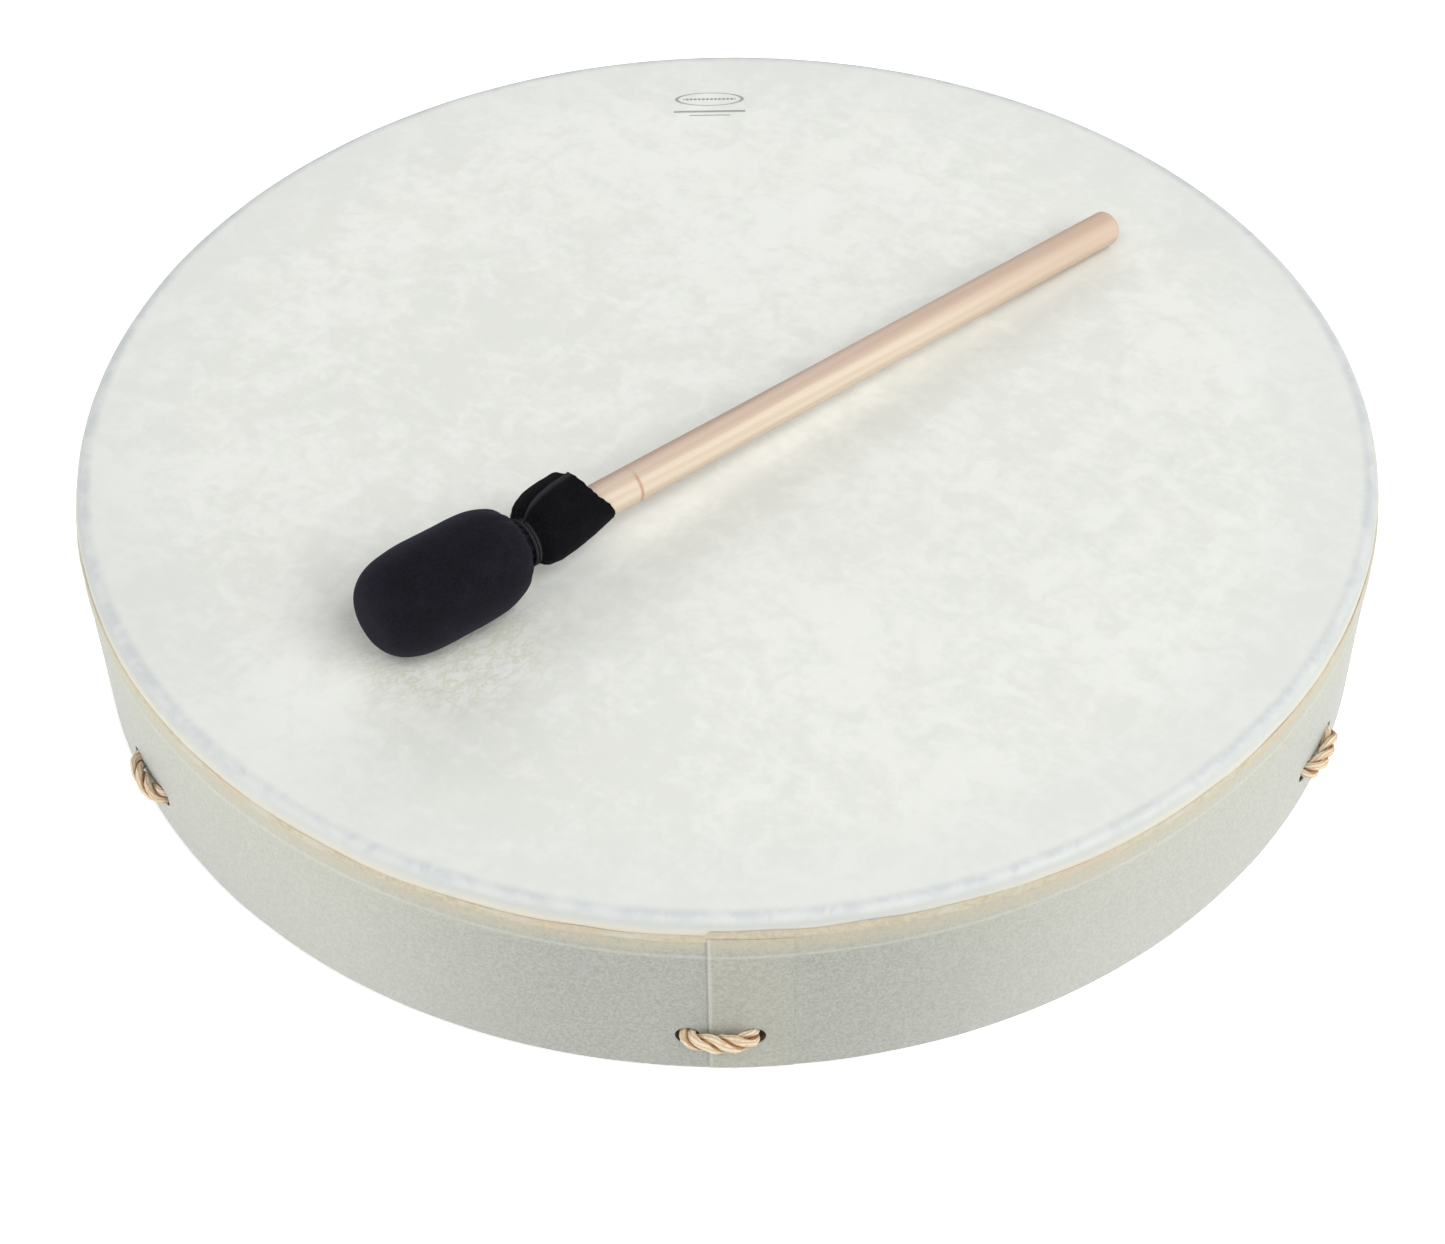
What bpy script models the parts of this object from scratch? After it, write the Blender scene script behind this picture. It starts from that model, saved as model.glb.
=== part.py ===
"""Frame drum, 22 in across and 3.5 in deep, with a rope handle in its open back and a cloth-headed mallet.

Units are metres. +Z is up, through the head. The origin is at the centre of the rim's lower edge.
The mallet lies on the head. Azimuths are in degrees, counted from +X towards +Y.
"""

import math

import bmesh
import bpy
from mathutils import Matrix, Vector

MM = 0.001
FIT_GAP = 0.3 * MM
ROUND_STEPS = 96
SMOOTH_BELOW = math.radians(35)

# Drum body: a bent hoop, a film head folded over it, and a film wrap round the side.
DRUM_RADIUS = 279.4 * MM
DRUM_DEPTH = 88.9 * MM
WRAP_THICKNESS = 0.55 * MM
FILM_THICKNESS = 0.35 * MM
HOOP_THICKNESS = 6.0 * MM
HEAD_FOLD_RADIUS = 5.6 * MM
HEAD_COLLAR_DEPTH = 18.0 * MM
WRAP_TOP = 78.9 * MM
WRAP_BOTTOM = 2.0 * MM
LAP_THICKNESS = 0.45 * MM
LAP_AZIMUTHS = (-92.1, -85.5)
BEAD_HEIGHT = 3.6 * MM
RIM_CHAMFER = 1.0 * MM

WRAP_INNER_RADIUS = DRUM_RADIUS - WRAP_THICKNESS
COLLAR_RADIUS = WRAP_INNER_RADIUS - FIT_GAP
HOOP_RADIUS = COLLAR_RADIUS - FILM_THICKNESS - FIT_GAP
HOOP_INNER_RADIUS = HOOP_RADIUS - HOOP_THICKNESS

# Rope handle: three ropes, each laced out and back in through the rim at two opposite places.
ROPE_DIAMETER = 8.0 * MM
ROPE_AZIMUTHS = (-149.1, -91.2, -29.9)
ROPE_STANDOFF = 0.8 * MM
HOLE_SPACING = 25.0 * MM
HOLE_HEIGHT = 22.0 * MM
HOLE_CLEARANCE = 0.85 * MM
STRAND_SPACING = 8.6 * MM
CROSSING_STEP = 8.9 * MM
STRAIGHT_REACH = 52.0 * MM
LASHING_PLACE = 39.0 * MM
LASHING_LENGTH = 18.0 * MM
LASHING_THICKNESS = 2.0 * MM
BEND_STEPS = 4

ROPE_RADIUS = ROPE_DIAMETER / 2
HOLE_HALF_ANGLE = HOLE_SPACING / 2 / DRUM_RADIUS

# Mallet. Its parts are turned about their own +Z, which runs from the head's middle to the stick's butt.
STICK_RADIUS = 8.0 * MM
BUTT_ROUND = 3.5 * MM
GROOVE_PLACE = 94.0 * MM
GROOVE_DEPTH = 0.6 * MM
GROOVE_WIDTH = 2.0 * MM
STICK_START = -20.0 * MM
MALLET_REACH = 379.5 * MM
MALLET_HEAD_RADIUS = 22.5 * MM
MALLET_HEAD_HALF = 38.0 * MM
HEAD_SQUARENESS = 2.6
HEAD_OUTLINE_END = math.radians(66)
COVER_THICKNESS = 0.9 * MM
NECK_RADIUS = 9.4 * MM
NECK_ENDS = (38.6 * MM, 43.6 * MM)
SKIRT_RADIUS = 15.0 * MM
SKIRT_THICKNESS = 1.2 * MM
SKIRT_END = 76.0 * MM
BINDING_DIAMETER = 2.0 * MM
BINDING_TURNS = 2
BINDING_PITCH = 2.35 * MM
MALLET_AZIMUTH = 40.2
MALLET_HEAD_PLACE = (-111.5 * MM, -124.5 * MM)
MALLET_REST_GAP = 0.5 * MM


def clear_scene():
    for thing in list(bpy.data.objects):
        bpy.data.objects.remove(thing)


def material(name, colour, roughness):
    made = bpy.data.materials.new(name)
    made.use_nodes = True
    shader = made.node_tree.nodes["Principled BSDF"]
    shader.inputs["Base Color"].default_value = (*colour, 1.0)
    shader.inputs["Roughness"].default_value = roughness
    shader.inputs["Metallic"].default_value = 0.0
    return made


def add_object(name, data, look, parent=None):
    made = bpy.data.objects.new(name, data)
    bpy.context.scene.collection.objects.link(made)
    data.materials.append(look)
    made.parent = parent
    return made


def finish_mesh(bm, name):
    bmesh.ops.remove_doubles(bm, verts=bm.verts, dist=1e-7)
    bmesh.ops.recalc_face_normals(bm, faces=bm.faces)
    mesh = bpy.data.meshes.new(name)
    bm.to_mesh(mesh)
    bm.free()
    mesh.shade_smooth()
    mesh.set_sharp_from_angle(angle=SMOOTH_BELOW)
    return mesh


def turned(name, profile, look, steps=ROUND_STEPS, ring=False, parent=None):
    """A solid turned about Z from (radius, height) points. A ring's profile closes on itself."""
    bm = bmesh.new()
    points = [bm.verts.new((radius, 0.0, height)) for radius, height in profile]
    edges = [bm.edges.new(pair) for pair in zip(points, points[1:])]
    if ring:
        edges.append(bm.edges.new((points[-1], points[0])))
    full_turn = {"cent": (0, 0, 0), "axis": (0, 0, 1), "angle": 2 * math.pi}
    bmesh.ops.spin(bm, geom=points + edges, steps=steps, use_merge=True, **full_turn)
    return add_object(name, finish_mesh(bm, name), look, parent)


def lofted_ring(name, loops, look, parent=None):
    """A closed tube of faces through equal loops of points, the last joined to the first."""
    bm = bmesh.new()
    rows = [[bm.verts.new(point) for point in loop] for loop in loops]
    for here, after in zip(rows, rows[1:] + rows[:1]):
        for i in range(len(here)):
            bm.faces.new((here[i - 1], here[i], after[i], after[i - 1]))
    return add_object(name, finish_mesh(bm, name), look, parent)


def round_cord(name, points, diameter, look, parent=None):
    """A round cord through the points, with closed ends."""
    curve = bpy.data.curves.new(name, "CURVE")
    curve.dimensions = "3D"
    curve.bevel_depth = diameter / 2
    curve.bevel_resolution = 2
    curve.use_fill_caps = True
    spline = curve.splines.new("POLY")
    spline.points.add(len(points) - 1)
    for place, point in zip(spline.points, points):
        place.co = (*point, 1.0)
    spline.use_smooth = True
    return add_object(name, curve, look, parent)


def arc(centre, radius, start, end, steps):
    """(radius, height) points of an arc. Angles are in degrees from the outward direction to up."""
    angles = [math.radians(start + (end - start) * i / steps) for i in range(steps + 1)]
    return [(centre[0] + radius * math.cos(a), centre[1] + radius * math.sin(a)) for a in angles]


def hoop(look):
    top = DRUM_DEPTH - FILM_THICKNESS - FIT_GAP
    edge = HEAD_FOLD_RADIUS - FILM_THICKNESS - FIT_GAP
    profile = [
        (HOOP_INNER_RADIUS, RIM_CHAMFER),
        (HOOP_INNER_RADIUS + RIM_CHAMFER, 0.0),
        (HOOP_RADIUS - RIM_CHAMFER, 0.0),
        (HOOP_RADIUS, RIM_CHAMFER),
        *arc((HOOP_RADIUS - edge, top - edge), edge, 0, 90, 5),
        (HOOP_INNER_RADIUS, top - RIM_CHAMFER / 2),
    ]
    return turned("shell_hoop", profile, look, ring=True)


def drumhead(look):
    """The film head: flat on top, folded over the hoop's round edge, with a collar down its outside."""
    flat_end = COLLAR_RADIUS - HEAD_FOLD_RADIUS
    fold = (flat_end, DRUM_DEPTH - HEAD_FOLD_RADIUS)
    collar_end = DRUM_DEPTH - HEAD_COLLAR_DEPTH
    profile = [
        (0.0, DRUM_DEPTH),
        *arc(fold, HEAD_FOLD_RADIUS, 90, 0, 5),
        (COLLAR_RADIUS, collar_end),
        (COLLAR_RADIUS - FILM_THICKNESS, collar_end),
        *arc(fold, HEAD_FOLD_RADIUS - FILM_THICKNESS, 0, 90, 5),
        (0.0, DRUM_DEPTH - FILM_THICKNESS),
    ]
    return turned("drumhead", profile, look)


def head_bond_bead(look):
    bottom = WRAP_TOP + FIT_GAP
    profile = [
        (WRAP_INNER_RADIUS, bottom),
        (DRUM_RADIUS - 0.05 * MM, bottom),
        (DRUM_RADIUS - 0.1 * MM, bottom + BEAD_HEIGHT / 2),
        (WRAP_INNER_RADIUS, bottom + BEAD_HEIGHT),
    ]
    return turned("head_bond_bead", profile, look, ring=True)


def polar(radius, angle, height):
    return Vector((radius * math.cos(angle), radius * math.sin(angle), height))


def side_wrap(look):
    """The side film, bonded all round, with its outer end lapped over its inner end."""
    lap = [math.radians(azimuth) for azimuth in LAP_AZIMUTHS]
    step = 2 * math.pi / ROUND_STEPS
    edge = LAP_THICKNESS / 2 / DRUM_RADIUS
    turns = [i * step - math.pi for i in range(ROUND_STEPS)]
    turns = [turn for turn in turns if min(abs(turn - end) for end in lap) > 3 * edge]
    angles = sorted(turns + [end + side for end in lap for side in (-edge, edge)])
    loops = []
    for angle in angles:
        lapped = lap[0] < angle < lap[1]
        outer = DRUM_RADIUS + (LAP_THICKNESS if lapped else 0.0)
        corners = [
            (WRAP_INNER_RADIUS, WRAP_BOTTOM),
            (outer, WRAP_BOTTOM),
            (outer, WRAP_TOP),
            (WRAP_INNER_RADIUS, WRAP_TOP),
        ]
        loops.append([polar(radius, angle, height) for radius, height in corners])
    return lofted_ring("side_wrap", loops, look)


def rope_stitches():
    """The azimuth, in radians, of each place where a rope passes along the rim's outside."""
    ends = [azimuth + half_turn for azimuth in ROPE_AZIMUTHS for half_turn in (0, 180)]
    return [math.radians(azimuth) for azimuth in ends]


def drill_rope_holes(drilled, look):
    bm = bmesh.new()
    radius = ROPE_RADIUS + HOLE_CLEARANCE
    for stitch in rope_stitches():
        for angle in (stitch - HOLE_HALF_ANGLE, stitch + HOLE_HALF_ANGLE):
            place = Matrix.Translation(polar(DRUM_RADIUS - HOOP_THICKNESS / 2, angle, HOLE_HEIGHT))
            turn = Matrix.Rotation(angle, 4, "Z") @ Matrix.Rotation(math.pi / 2, 4, "Y")
            size = {"radius1": radius, "radius2": radius, "depth": 4 * HOOP_THICKNESS}
            bmesh.ops.create_cone(bm, cap_ends=True, segments=12, matrix=place @ turn, **size)
    cutter = add_object("rope_hole_cutter", finish_mesh(bm, "rope_hole_cutter"), look)
    cutter.hide_render = True
    cutter.display_type = "WIRE"
    for piece in drilled:
        holes = piece.modifiers.new("rope_holes", "BOOLEAN")
        holes.operation = "DIFFERENCE"
        holes.solver = "EXACT"
        holes.object = cutter


def stitch_points(stitch, side):
    """The rope's way out of the hole on one side of a stitch, along the wall and in by the other."""
    along_wall = DRUM_RADIUS + ROPE_STANDOFF + ROPE_RADIUS
    bend = along_wall - DRUM_RADIUS
    way_out = [polar(HOOP_INNER_RADIUS - 4 * MM, HOLE_HALF_ANGLE, HOLE_HEIGHT)]
    for i in range(BEND_STEPS + 1):
        turn = math.pi / 2 * i / BEND_STEPS
        angle = HOLE_HALF_ANGLE - bend * (1 - math.cos(turn)) / DRUM_RADIUS
        way_out.append(polar(DRUM_RADIUS + bend * math.sin(turn), angle, HOLE_HEIGHT))
    mirror = Matrix.Scale(-1, 4, (0, 1, 0))
    points = way_out + [mirror @ point for point in reversed(way_out)]
    if side < 0:
        points.reverse()
    return [Matrix.Rotation(stitch, 4, "Z") @ point for point in points]


def handle_rope(index, look):
    """One rope: two strands side by side through the drum's middle, joined by a stitch at each end.

    Its two cut ends butt together under the lashing on the rope's first side.
    """
    azimuth = math.radians(ROPE_AZIMUTHS[index])
    height = HOLE_HEIGHT + (index - 1) * CROSSING_STEP
    turn = Matrix.Rotation(azimuth, 4, "Z")

    def strand(reach, side):
        return turn @ Vector((reach, side * STRAND_SPACING / 2, height))

    points = [
        strand(LASHING_PLACE + FIT_GAP, 1),
        strand(STRAIGHT_REACH, 1),
        *stitch_points(azimuth, 1),
        strand(STRAIGHT_REACH, -1),
        strand(-STRAIGHT_REACH, -1),
        *stitch_points(azimuth + math.pi, 1),
        strand(-STRAIGHT_REACH, 1),
        strand(LASHING_PLACE - FIT_GAP, 1),
    ]
    return round_cord(f"handle_rope_{index + 1}", points, ROPE_DIAMETER, look)


def stadium(radius, steps=7):
    """(across, up) points round two strands that lie side by side."""
    points = []
    for side in (1, -1):
        for i in range(steps + 1):
            angle = math.pi * i / steps - math.pi / 2
            across = side * (STRAND_SPACING / 2 + radius * math.cos(angle))
            points.append((across, side * radius * math.sin(angle)))
    return points


def rope_lashing(index, end, look):
    """Turns of twine that hold a rope's two strands together on one side of the crossing."""
    inner = stadium(ROPE_RADIUS + FIT_GAP)
    outer = stadium(ROPE_RADIUS + FIT_GAP + LASHING_THICKNESS)
    near = -LASHING_LENGTH / 2
    far = LASHING_LENGTH / 2
    sections = [(near, inner), (near, outer), (far, outer), (far, inner)]
    loops = [[(along, across, up) for across, up in outline] for along, outline in sections]
    made = lofted_ring(f"rope_lashing_{2 * index + end + 1}", loops, look)
    azimuth = math.radians(ROPE_AZIMUTHS[index] + 180 * end)
    made.location = polar(LASHING_PLACE, azimuth, HOLE_HEIGHT + (index - 1) * CROSSING_STEP)
    made.rotation_euler = (0, 0, azimuth)
    return made


def mallet_place():
    """The empty that carries the mallet, at the head's middle, with +Z along the stick."""
    head_height = DRUM_DEPTH + MALLET_REST_GAP + MALLET_HEAD_RADIUS
    butt_height = DRUM_DEPTH + MALLET_REST_GAP + STICK_RADIUS
    fall = math.asin((head_height - butt_height) / MALLET_REACH)
    place = bpy.data.objects.new("mallet_place", None)
    bpy.context.scene.collection.objects.link(place)
    place.location = (*MALLET_HEAD_PLACE, head_height)
    place.rotation_euler = (0, math.pi / 2 + fall, math.radians(MALLET_AZIMUTH))
    return place


def head_outline(shrink, steps=8):
    """(radius, height) points of the mallet head's outline, far end first, that much inside the cloth."""
    radius = MALLET_HEAD_RADIUS - shrink
    half = MALLET_HEAD_HALF - shrink
    points = [(0.0, -half)]
    for i in range(1, steps + 1):
        angle = (HEAD_OUTLINE_END + math.pi / 2) * i / steps - math.pi / 2
        out = radius * math.cos(angle) ** (2 / HEAD_SQUARENESS)
        up = half * math.copysign(abs(math.sin(angle)) ** (2 / HEAD_SQUARENESS), angle)
        points.append((out, up))
    return points


def mallet_stick(look, parent):
    groove = GROOVE_PLACE
    profile = [
        (0.0, STICK_START),
        (STICK_RADIUS, STICK_START),
        (STICK_RADIUS, groove - GROOVE_WIDTH / 2),
        (STICK_RADIUS - GROOVE_DEPTH, groove - GROOVE_WIDTH / 4),
        (STICK_RADIUS - GROOVE_DEPTH, groove + GROOVE_WIDTH / 4),
        (STICK_RADIUS, groove + GROOVE_WIDTH / 2),
        *arc((STICK_RADIUS - BUTT_ROUND, MALLET_REACH - BUTT_ROUND), BUTT_ROUND, 0, 90, 4),
        (0.0, MALLET_REACH),
    ]
    return turned("mallet_stick", profile, look, steps=24, parent=parent)


def mallet_core(look, parent):
    """The foam head core, with a blind bore for the stick."""
    bore = STICK_RADIUS + FIT_GAP
    bore_end = STICK_START - FIT_GAP
    outline = head_outline(COVER_THICKNESS + FIT_GAP)
    profile = [*outline, (bore, outline[-1][1]), (bore, bore_end), (0.0, bore_end)]
    return turned("mallet_core", profile, look, steps=24, parent=parent)


def mallet_cover(look, parent):
    """The cloth over the core: a bag gathered to a neck on the stick, with its free end as a skirt."""
    bore = STICK_RADIUS + FIT_GAP
    neck_start, neck_end = NECK_ENDS
    profile = [
        *head_outline(0.0),
        (NECK_RADIUS, neck_start),
        (NECK_RADIUS, neck_end),
        (SKIRT_RADIUS - 1.5 * MM, neck_end + 4 * MM),
        (SKIRT_RADIUS, neck_end + 11 * MM),
        (SKIRT_RADIUS, SKIRT_END),
        (SKIRT_RADIUS - SKIRT_THICKNESS, SKIRT_END),
        (SKIRT_RADIUS - SKIRT_THICKNESS, neck_end + 12 * MM),
        (bore, neck_end + 3 * MM),
        (bore, neck_start - 2 * MM),
        *reversed(head_outline(COVER_THICKNESS)),
    ]
    return turned("mallet_cover", profile, look, steps=24, parent=parent)


def mallet_binding(look, parent):
    """Two turns of cord that hold the cloth to the stick at the neck."""
    radius = NECK_RADIUS + FIT_GAP + BINDING_DIAMETER / 2
    steps = 16
    middle = sum(NECK_ENDS) / 2
    points = []
    for i in range(BINDING_TURNS * steps + 1):
        turn = i / steps
        points.append(polar(radius, 2 * math.pi * turn, middle + (turn - BINDING_TURNS / 2) * BINDING_PITCH))
    return round_cord("mallet_binding", points, BINDING_DIAMETER, look, parent)


def build_drum():
    hoop_look = material("hoop_fibre", (0.16, 0.12, 0.09), 0.7)
    film_look = material("head_film", (0.82, 0.83, 0.78), 0.35)
    wrap_look = material("side_film", (0.50, 0.51, 0.46), 0.45)
    bond_look = material("bond", (0.58, 0.50, 0.34), 0.4)
    rope_look = material("rope", (0.66, 0.50, 0.31), 0.9)
    twine_look = material("twine", (0.36, 0.24, 0.13), 0.9)
    drumhead(film_look)
    head_bond_bead(bond_look)
    drill_rope_holes([hoop(hoop_look), side_wrap(wrap_look)], hoop_look)
    for index in range(len(ROPE_AZIMUTHS)):
        handle_rope(index, rope_look)
        for end in (0, 1):
            rope_lashing(index, end, twine_look)


def build_mallet():
    place = mallet_place()
    mallet_stick(material("stick_wood", (0.72, 0.58, 0.44), 0.6), place)
    mallet_core(material("core_foam", (0.30, 0.30, 0.30), 0.95), place)
    mallet_cover(material("cover_cloth", (0.011, 0.011, 0.015), 0.95), place)
    mallet_binding(material("binding_cord", (0.03, 0.03, 0.035), 0.5), place)


clear_scene()
build_drum()
build_mallet()
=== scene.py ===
"""Looks of a frame drum with a rope handle and a cloth-headed mallet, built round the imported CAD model.

Units are metres in the CAD model's frame: +Z is up through the head, and the camera stands on the -Y side.
Azimuths are in degrees, counted from +X towards +Y.
"""

from math import asin, copysign, cos, pi, radians, sin

import bmesh
import bpy
import numpy as np
from mathutils import Matrix, Vector, noise


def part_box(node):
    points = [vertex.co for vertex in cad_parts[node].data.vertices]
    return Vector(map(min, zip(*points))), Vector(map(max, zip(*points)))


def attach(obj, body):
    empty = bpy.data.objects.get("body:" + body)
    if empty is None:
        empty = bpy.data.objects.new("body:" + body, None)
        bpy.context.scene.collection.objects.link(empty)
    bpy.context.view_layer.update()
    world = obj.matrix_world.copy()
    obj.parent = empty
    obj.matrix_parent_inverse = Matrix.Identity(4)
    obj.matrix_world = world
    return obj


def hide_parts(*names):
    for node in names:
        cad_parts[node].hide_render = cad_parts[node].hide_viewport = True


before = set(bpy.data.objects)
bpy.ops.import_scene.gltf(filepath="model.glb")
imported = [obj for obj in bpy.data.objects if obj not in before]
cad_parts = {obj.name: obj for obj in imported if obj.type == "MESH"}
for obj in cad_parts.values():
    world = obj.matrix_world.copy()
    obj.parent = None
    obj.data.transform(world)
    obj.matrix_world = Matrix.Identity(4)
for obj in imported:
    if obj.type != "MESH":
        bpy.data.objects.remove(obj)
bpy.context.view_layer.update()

MM = 0.001
FULL_TURN = 2 * pi
SAME_POINT = 1e-6
SHARP_ANGLE = radians(40)

# The drum's sizes, from the CAD nodes.
HEAD_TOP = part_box("drumhead")[1].z
COLLAR_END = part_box("drumhead")[0].z
COLLAR_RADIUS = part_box("drumhead")[1].x
WRAP_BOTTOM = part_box("side_wrap")[0].z
WRAP_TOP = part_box("side_wrap")[1].z
DRUM_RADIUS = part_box("side_wrap")[1].x
BEAD_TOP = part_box("head_bond_bead")[1].z
HOOP_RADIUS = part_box("shell_hoop")[1].x
HOOP_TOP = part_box("shell_hoop")[1].z

# Sizes repeated from the CAD source.
FIT_GAP = 0.3 * MM
FILM_THICKNESS = 0.35 * MM
HEAD_FOLD_RADIUS = 5.6 * MM
HOOP_THICKNESS = 6.0 * MM
RIM_CHAMFER = 1.0 * MM
WRAP_THICKNESS = 0.55 * MM
LAP_THICKNESS = 0.45 * MM
LAP_AZIMUTHS = (-92.1, -85.5)
ROPE_DIAMETER = 8.0 * MM
ROPE_AZIMUTHS = (-149.1, -91.2, -29.9)
HOLE_SPACING = 25.0 * MM
HOLE_HEIGHT = 22.0 * MM
HOLE_CLEARANCE = 0.85 * MM
STRAND_SPACING = 8.6 * MM
CROSSING_STEP = 8.9 * MM
STRAIGHT_REACH = 52.0 * MM
LASHING_PLACE = 39.0 * MM
LASHING_LENGTH = 18.0 * MM
LASHING_THICKNESS = 2.0 * MM
STICK_RADIUS = 8.0 * MM
BUTT_ROUND = 3.5 * MM
GROOVE_PLACE = 94.0 * MM
GROOVE_WIDTH = 2.0 * MM
STICK_START = -20.0 * MM
MALLET_REACH = 379.5 * MM
MALLET_HEAD_RADIUS = 22.5 * MM
HEAD_SQUARENESS = 2.6
HEAD_OUTLINE_END = radians(66)
COVER_THICKNESS = 0.9 * MM
BINDING_TURNS = 2
MALLET_AZIMUTH = 40.2
MALLET_HEAD_PLACE = (-111.5 * MM, -124.5 * MM)
MALLET_REST_GAP = 0.5 * MM

ROPE_RADIUS = ROPE_DIAMETER / 2
HOLE_HALF_ANGLE = HOLE_SPACING / 2 / DRUM_RADIUS
LAP_ANGLES = tuple(radians(azimuth) for azimuth in LAP_AZIMUTHS)
LAP_WIDTH = (LAP_ANGLES[1] - LAP_ANGLES[0]) * DRUM_RADIUS

# Details that only the looks have.
HEAD_COLUMNS = 480
HOOP_COLUMNS = 360
WRAP_COLUMNS = 960
WRAP_ROW_STEP = 1.6 * MM
SEAM_GROOVE_WIDTH = 0.7 * MM
SEAM_GROOVE_DEPTH = 0.15 * MM
RIDGE_WIDTH = 1.3 * MM
RIDGE_HEIGHT = 0.18 * MM
SUNK_BELOW_RIDGE = 0.22 * MM
HOLE_SEGMENTS = 28
BEAD_STEP_UP = 2.6 * MM
EMBLEM_PLACE = (-5.5 * MM, 238.5 * MM)
EMBLEM_HALF_WIDTH = 17.0 * MM
EMBLEM_HALF_HEIGHT = 5.6 * MM
EMBLEM_DOT_STEP = 2.0 * MM
# Each rule's lower edge, upper edge and half width, from the emblem's middle.
EMBLEM_RULES = ((-11.2 * MM, -9.6 * MM, 17.5 * MM), (-14.0 * MM, -13.2 * MM, 10.0 * MM))
# Where the wrinkles and the painted shade beside the mallet's head are centred.
SCUFF_AND_SHADE_PLACE = (-112 * MM, -132 * MM)
STRANDS = 3
ROPE_STEP = 1.5 * MM
ROPE_LAY = 24.0 * MM
STRAND_SIDES = 12
TWINE_LAY = 5.0 * MM
TWINE_STEP = 0.9 * MM
TWINE_SIDES = 6
# Half a stitch: how far along the rim, and how far out from its wall, in mm.
STITCH_SHAPE = ((12.4, -2.4), (11.9, -0.4), (10.6, 1.4), (8.4, 2.6), (5.4, 3.15), (0.0, 3.3))
NECK_RADIUS = 9.2 * MM
BINDING_DIAMETER = 1.4 * MM
BINDING_PITCH = 1.6 * MM
BINDING_LAY = 4.5 * MM
BINDING_STEP = 0.5 * MM
BINDING_SIDES = 8
CLOTH_NECK_PLACE = 39.2 * MM
FAR_HALF = 37.2 * MM
SHOULDER_HALF = 36.0 * MM
GROOVE_DEPTH = 0.2 * MM
HANDLED_STRETCH = (230 * MM, 370 * MM)
SKIRT_TURNS = 1.2
SKIRT_THICKNESS = 0.9 * MM
BAG_COLUMNS = 128
CORE_COLUMNS = 64
STICK_COLUMNS = 72
# The way the bag sits off its axis, counted from up towards the back left.
BAG_LEAN = radians(52)
# How much cloth one row of the mesh stands for in the weave.
BAG_ROW_LENGTH = 1.7 * MM
SKIRT_ROW_LENGTH = 1.2 * MM
SKIRT_END = 72.0 * MM
# How far the skirt's end slants and bulges, and the turn in degrees where each is most.
SKIRT_SLANT = (6.8 * MM, 232)
SKIRT_BULGE = (2.0 * MM, 323)
# The skirt's radius in mm, at those places in mm along the stick, for each quarter turn from the first.
SKIRT_FIRST_TURN = -127.0
SKIRT_PLACES = (37.2, 40.4, 42.2, 45.0, 50.0, 58.0, 68.0, 79.0)
SKIRT_RADII = (
    (9.0, 9.2, 11.4, 13.0, 13.5, 12.7, 10.9, 8.8),
    (9.0, 9.2, 10.4, 12.2, 13.2, 13.2, 11.4, 9.4),
    (9.0, 11.6, 14.4, 16.2, 18.0, 19.4, 19.8, 19.2),
    (9.0, 9.2, 11.0, 12.6, 13.4, 13.6, 12.6, 11.6),
)

# Each cord's crown, groove-shade and dirt colours, the yarns in a strand, their pitch and their relief. The
# groove shade is painted shade, darker and browner in the grooves.
CORD_LOOKS = {
    "rope": ((0.71, 0.60, 0.445), (0.38, 0.20, 0.09), (0.58, 0.41, 0.245), 6, 14 * MM, 0.3 * MM),
    "twine": ((0.30, 0.20, 0.11), (0.09, 0.05, 0.025), (0.20, 0.12, 0.06), 4, 5 * MM, 0.12 * MM),
    "binding_cord": ((0.035, 0.035, 0.04), (0.008, 0.008, 0.01), (0.03, 0.03, 0.034), 3, 4 * MM, 0.06 * MM),
}

# The camera, fitted to the photograph: focal length and sensor in mm, place, tilt down and roll in degrees.
CAMERA_LENS = 68.555
CAMERA_SENSOR = 36.0
CAMERA_PLACE = (-0.0028, -0.9005, 0.8716)
CAMERA_TILT = 45.257
CAMERA_ROLL = -0.8353
FLOOR_HALF = 30.0
FLOOR_HEIGHT = -0.2 * MM
SKY_STRENGTH = 0.07
WHITE = (1.0, 1.0, 1.0)
COOL_WHITE = (0.97, 0.983, 0.99)
BLUE_WHITE = (0.97, 0.985, 1.0)
# Each softbox: name, azimuth, elevation and distance, width and height, power in watts, colour.
SOFTBOXES = (
    ("front_softbox", 240, 50, 4.0, (2.3, 2.3), 53.0, WHITE),
    ("right_softbox", -42, 48, 4.0, (3.1, 2.8), 132.0, COOL_WHITE),
    ("low_left_softbox", 202, 6, 2.0, (1.2, 0.5), 16.5, BLUE_WHITE),
    ("low_right_softbox", -8, 11, 1.9, (1.0, 0.6), 9.0, COOL_WHITE),
    ("back_softbox", 100, 31, 2.0, (2.6, 0.6), 13.5, WHITE),
)


# ---- mesh tools


def smooth_step(low, high, value):
    share = np.clip((np.asarray(value, float) - low) / (high - low), 0.0, 1.0)
    return share * share * (3 - 2 * share)


def polar(radius, angle, height):
    return Vector((radius * cos(angle), radius * sin(angle), height))


def arc(centre, radius, start, end, steps):
    """(radius, height) points of an arc. Angles are in degrees from the outward direction to up."""
    angles = [radians(start + (end - start) * i / steps) for i in range(steps + 1)]
    return [(centre[0] + radius * cos(a), centre[1] + radius * sin(a)) for a in angles]


def turned(profile, angles):
    """A grid of points: the (radius, height) profile turned to each angle about Z."""
    radius, height = np.array(profile, float).T[:, :, None]
    shape = (len(profile), len(angles))
    heights = np.broadcast_to(height, shape)
    return np.stack([radius * np.cos(angles), radius * np.sin(angles), heights], axis=-1)


def even_angles(count):
    return np.arange(count) * FULL_TURN / count


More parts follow.
